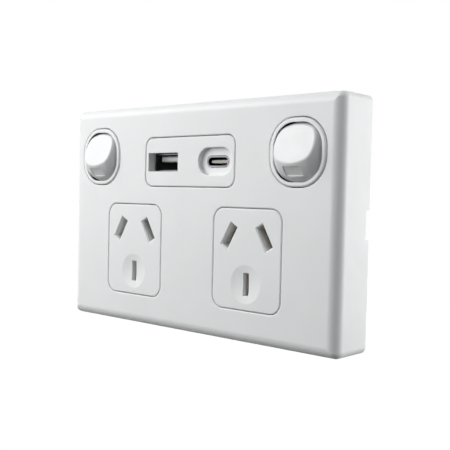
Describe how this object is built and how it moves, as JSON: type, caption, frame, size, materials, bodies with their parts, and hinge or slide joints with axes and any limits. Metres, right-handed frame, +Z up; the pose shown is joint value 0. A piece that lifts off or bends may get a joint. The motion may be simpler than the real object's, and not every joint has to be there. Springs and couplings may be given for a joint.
{
  "type": "usb wall socket",
  "caption": "White wall outlet plate with slanted flat-pin sockets, a rocker switch for each, and a charging panel with USB-A and USB-C ports.",
  "frame": {"origin": "on the wall plane, midway between the two fixing screws", "axes": "+X to the right as seen from the front, +Y into the wall, +Z up"},
  "size_m": [0.1156, 0.0405, 0.0734],
  "materials": {
    "cover_white": "satin moulded white",
    "frame_white": "plain moulded white",
    "face_white": "satin moulded white",
    "bezel_white": "satin moulded white",
    "rocker_white": "smooth moulded white",
    "plunger_plastic": "natural nylon",
    "spring_steel": "drawn wire",
    "contact_brass": "stamped",
    "strip_brass": "stamped",
    "terminal_brass": "machined",
    "screw_steel": "zinc plated",
    "housing_plastic": "fine spark-eroded texture",
    "case_plastic": "fine spark-eroded texture",
    "shell_steel": "nickel plated",
    "tongue_grey": "moulded",
    "tongue_pale": "moulded",
    "contact_gold": "gold flashed",
    "board_green": "solder mask",
    "ferrite": "sintered",
    "winding_tape": "wrapped tape",
    "capacitor_sleeve": "shrink sleeve",
    "pin_tinned": "tinned"
  },
  "bodies": {
    "outlet": {"cover_plate": "cover_white", "mounting_frame": "frame_white", "socket_front_left": "face_white", "socket_front_right": "face_white", "switch_housing_left": "bezel_white", "switch_housing_right": "bezel_white", "switched_active_left": "strip_brass", "switched_active_right": "strip_brass", "active_feed": "strip_brass", "neutral_bar": "strip_brass", "earth_bar": "strip_brass", "active_terminal": "terminal_brass", "earth_terminal": "terminal_brass", "neutral_terminal": "terminal_brass", "terminal_screws": "screw_steel", "rear_housing": "housing_plastic", "assembly_screws": "screw_steel", "usb_face": "face_white", "usb_case": "case_plastic", "usb_a_shell": "shell_steel", "usb_a_tongue": "tongue_grey", "usb_a_contacts": "contact_gold", "usb_c_shell": "shell_steel", "usb_c_tongue": "tongue_pale", "usb_c_contacts": "contact_gold", "usb_board": "board_green", "transformer_core": "ferrite", "transformer_winding": "winding_tape", "board_capacitors": "capacitor_sleeve", "supply_pins": "pin_tinned"},
    "left_switch": {"rocker_left": "rocker_white", "plunger_left": "plunger_plastic", "plunger_spring_left": "spring_steel"},
    "left_contact": {"moving_contact_left": "contact_brass"},
    "right_switch": {"rocker_right": "rocker_white", "plunger_right": "plunger_plastic", "plunger_spring_right": "spring_steel"},
    "right_contact": {"moving_contact_right": "contact_brass"}
  },
  "joints": [
    {"name": "left_rocker_hinge", "type": "hinge", "parent": "outlet", "child": "left_switch", "pos_m": [-0.043, -0.0099, 0.0201], "axis": [1, 0, 0], "range_deg": [0, 38]},
    {"name": "left_contact_hinge", "type": "hinge", "parent": "outlet", "child": "left_contact", "pos_m": [-0.043, -0.0037, 0.0201], "axis": [1, 0, 0], "range_deg": [-16, 0]},
    {"name": "right_rocker_hinge", "type": "hinge", "parent": "outlet", "child": "right_switch", "pos_m": [0.043, -0.0099, 0.0201], "axis": [1, 0, 0], "range_deg": [0, 38]},
    {"name": "right_contact_hinge", "type": "hinge", "parent": "outlet", "child": "right_contact", "pos_m": [0.043, -0.0037, 0.0201], "axis": [1, 0, 0], "range_deg": [-16, 0]}
  ],
  "couplings": [
    {"joint": "left_contact_hinge", "follows": "left_rocker_hinge", "ratio": -0.42105},
    {"joint": "right_contact_hinge", "follows": "right_rocker_hinge", "ratio": -0.42105}
  ]
}
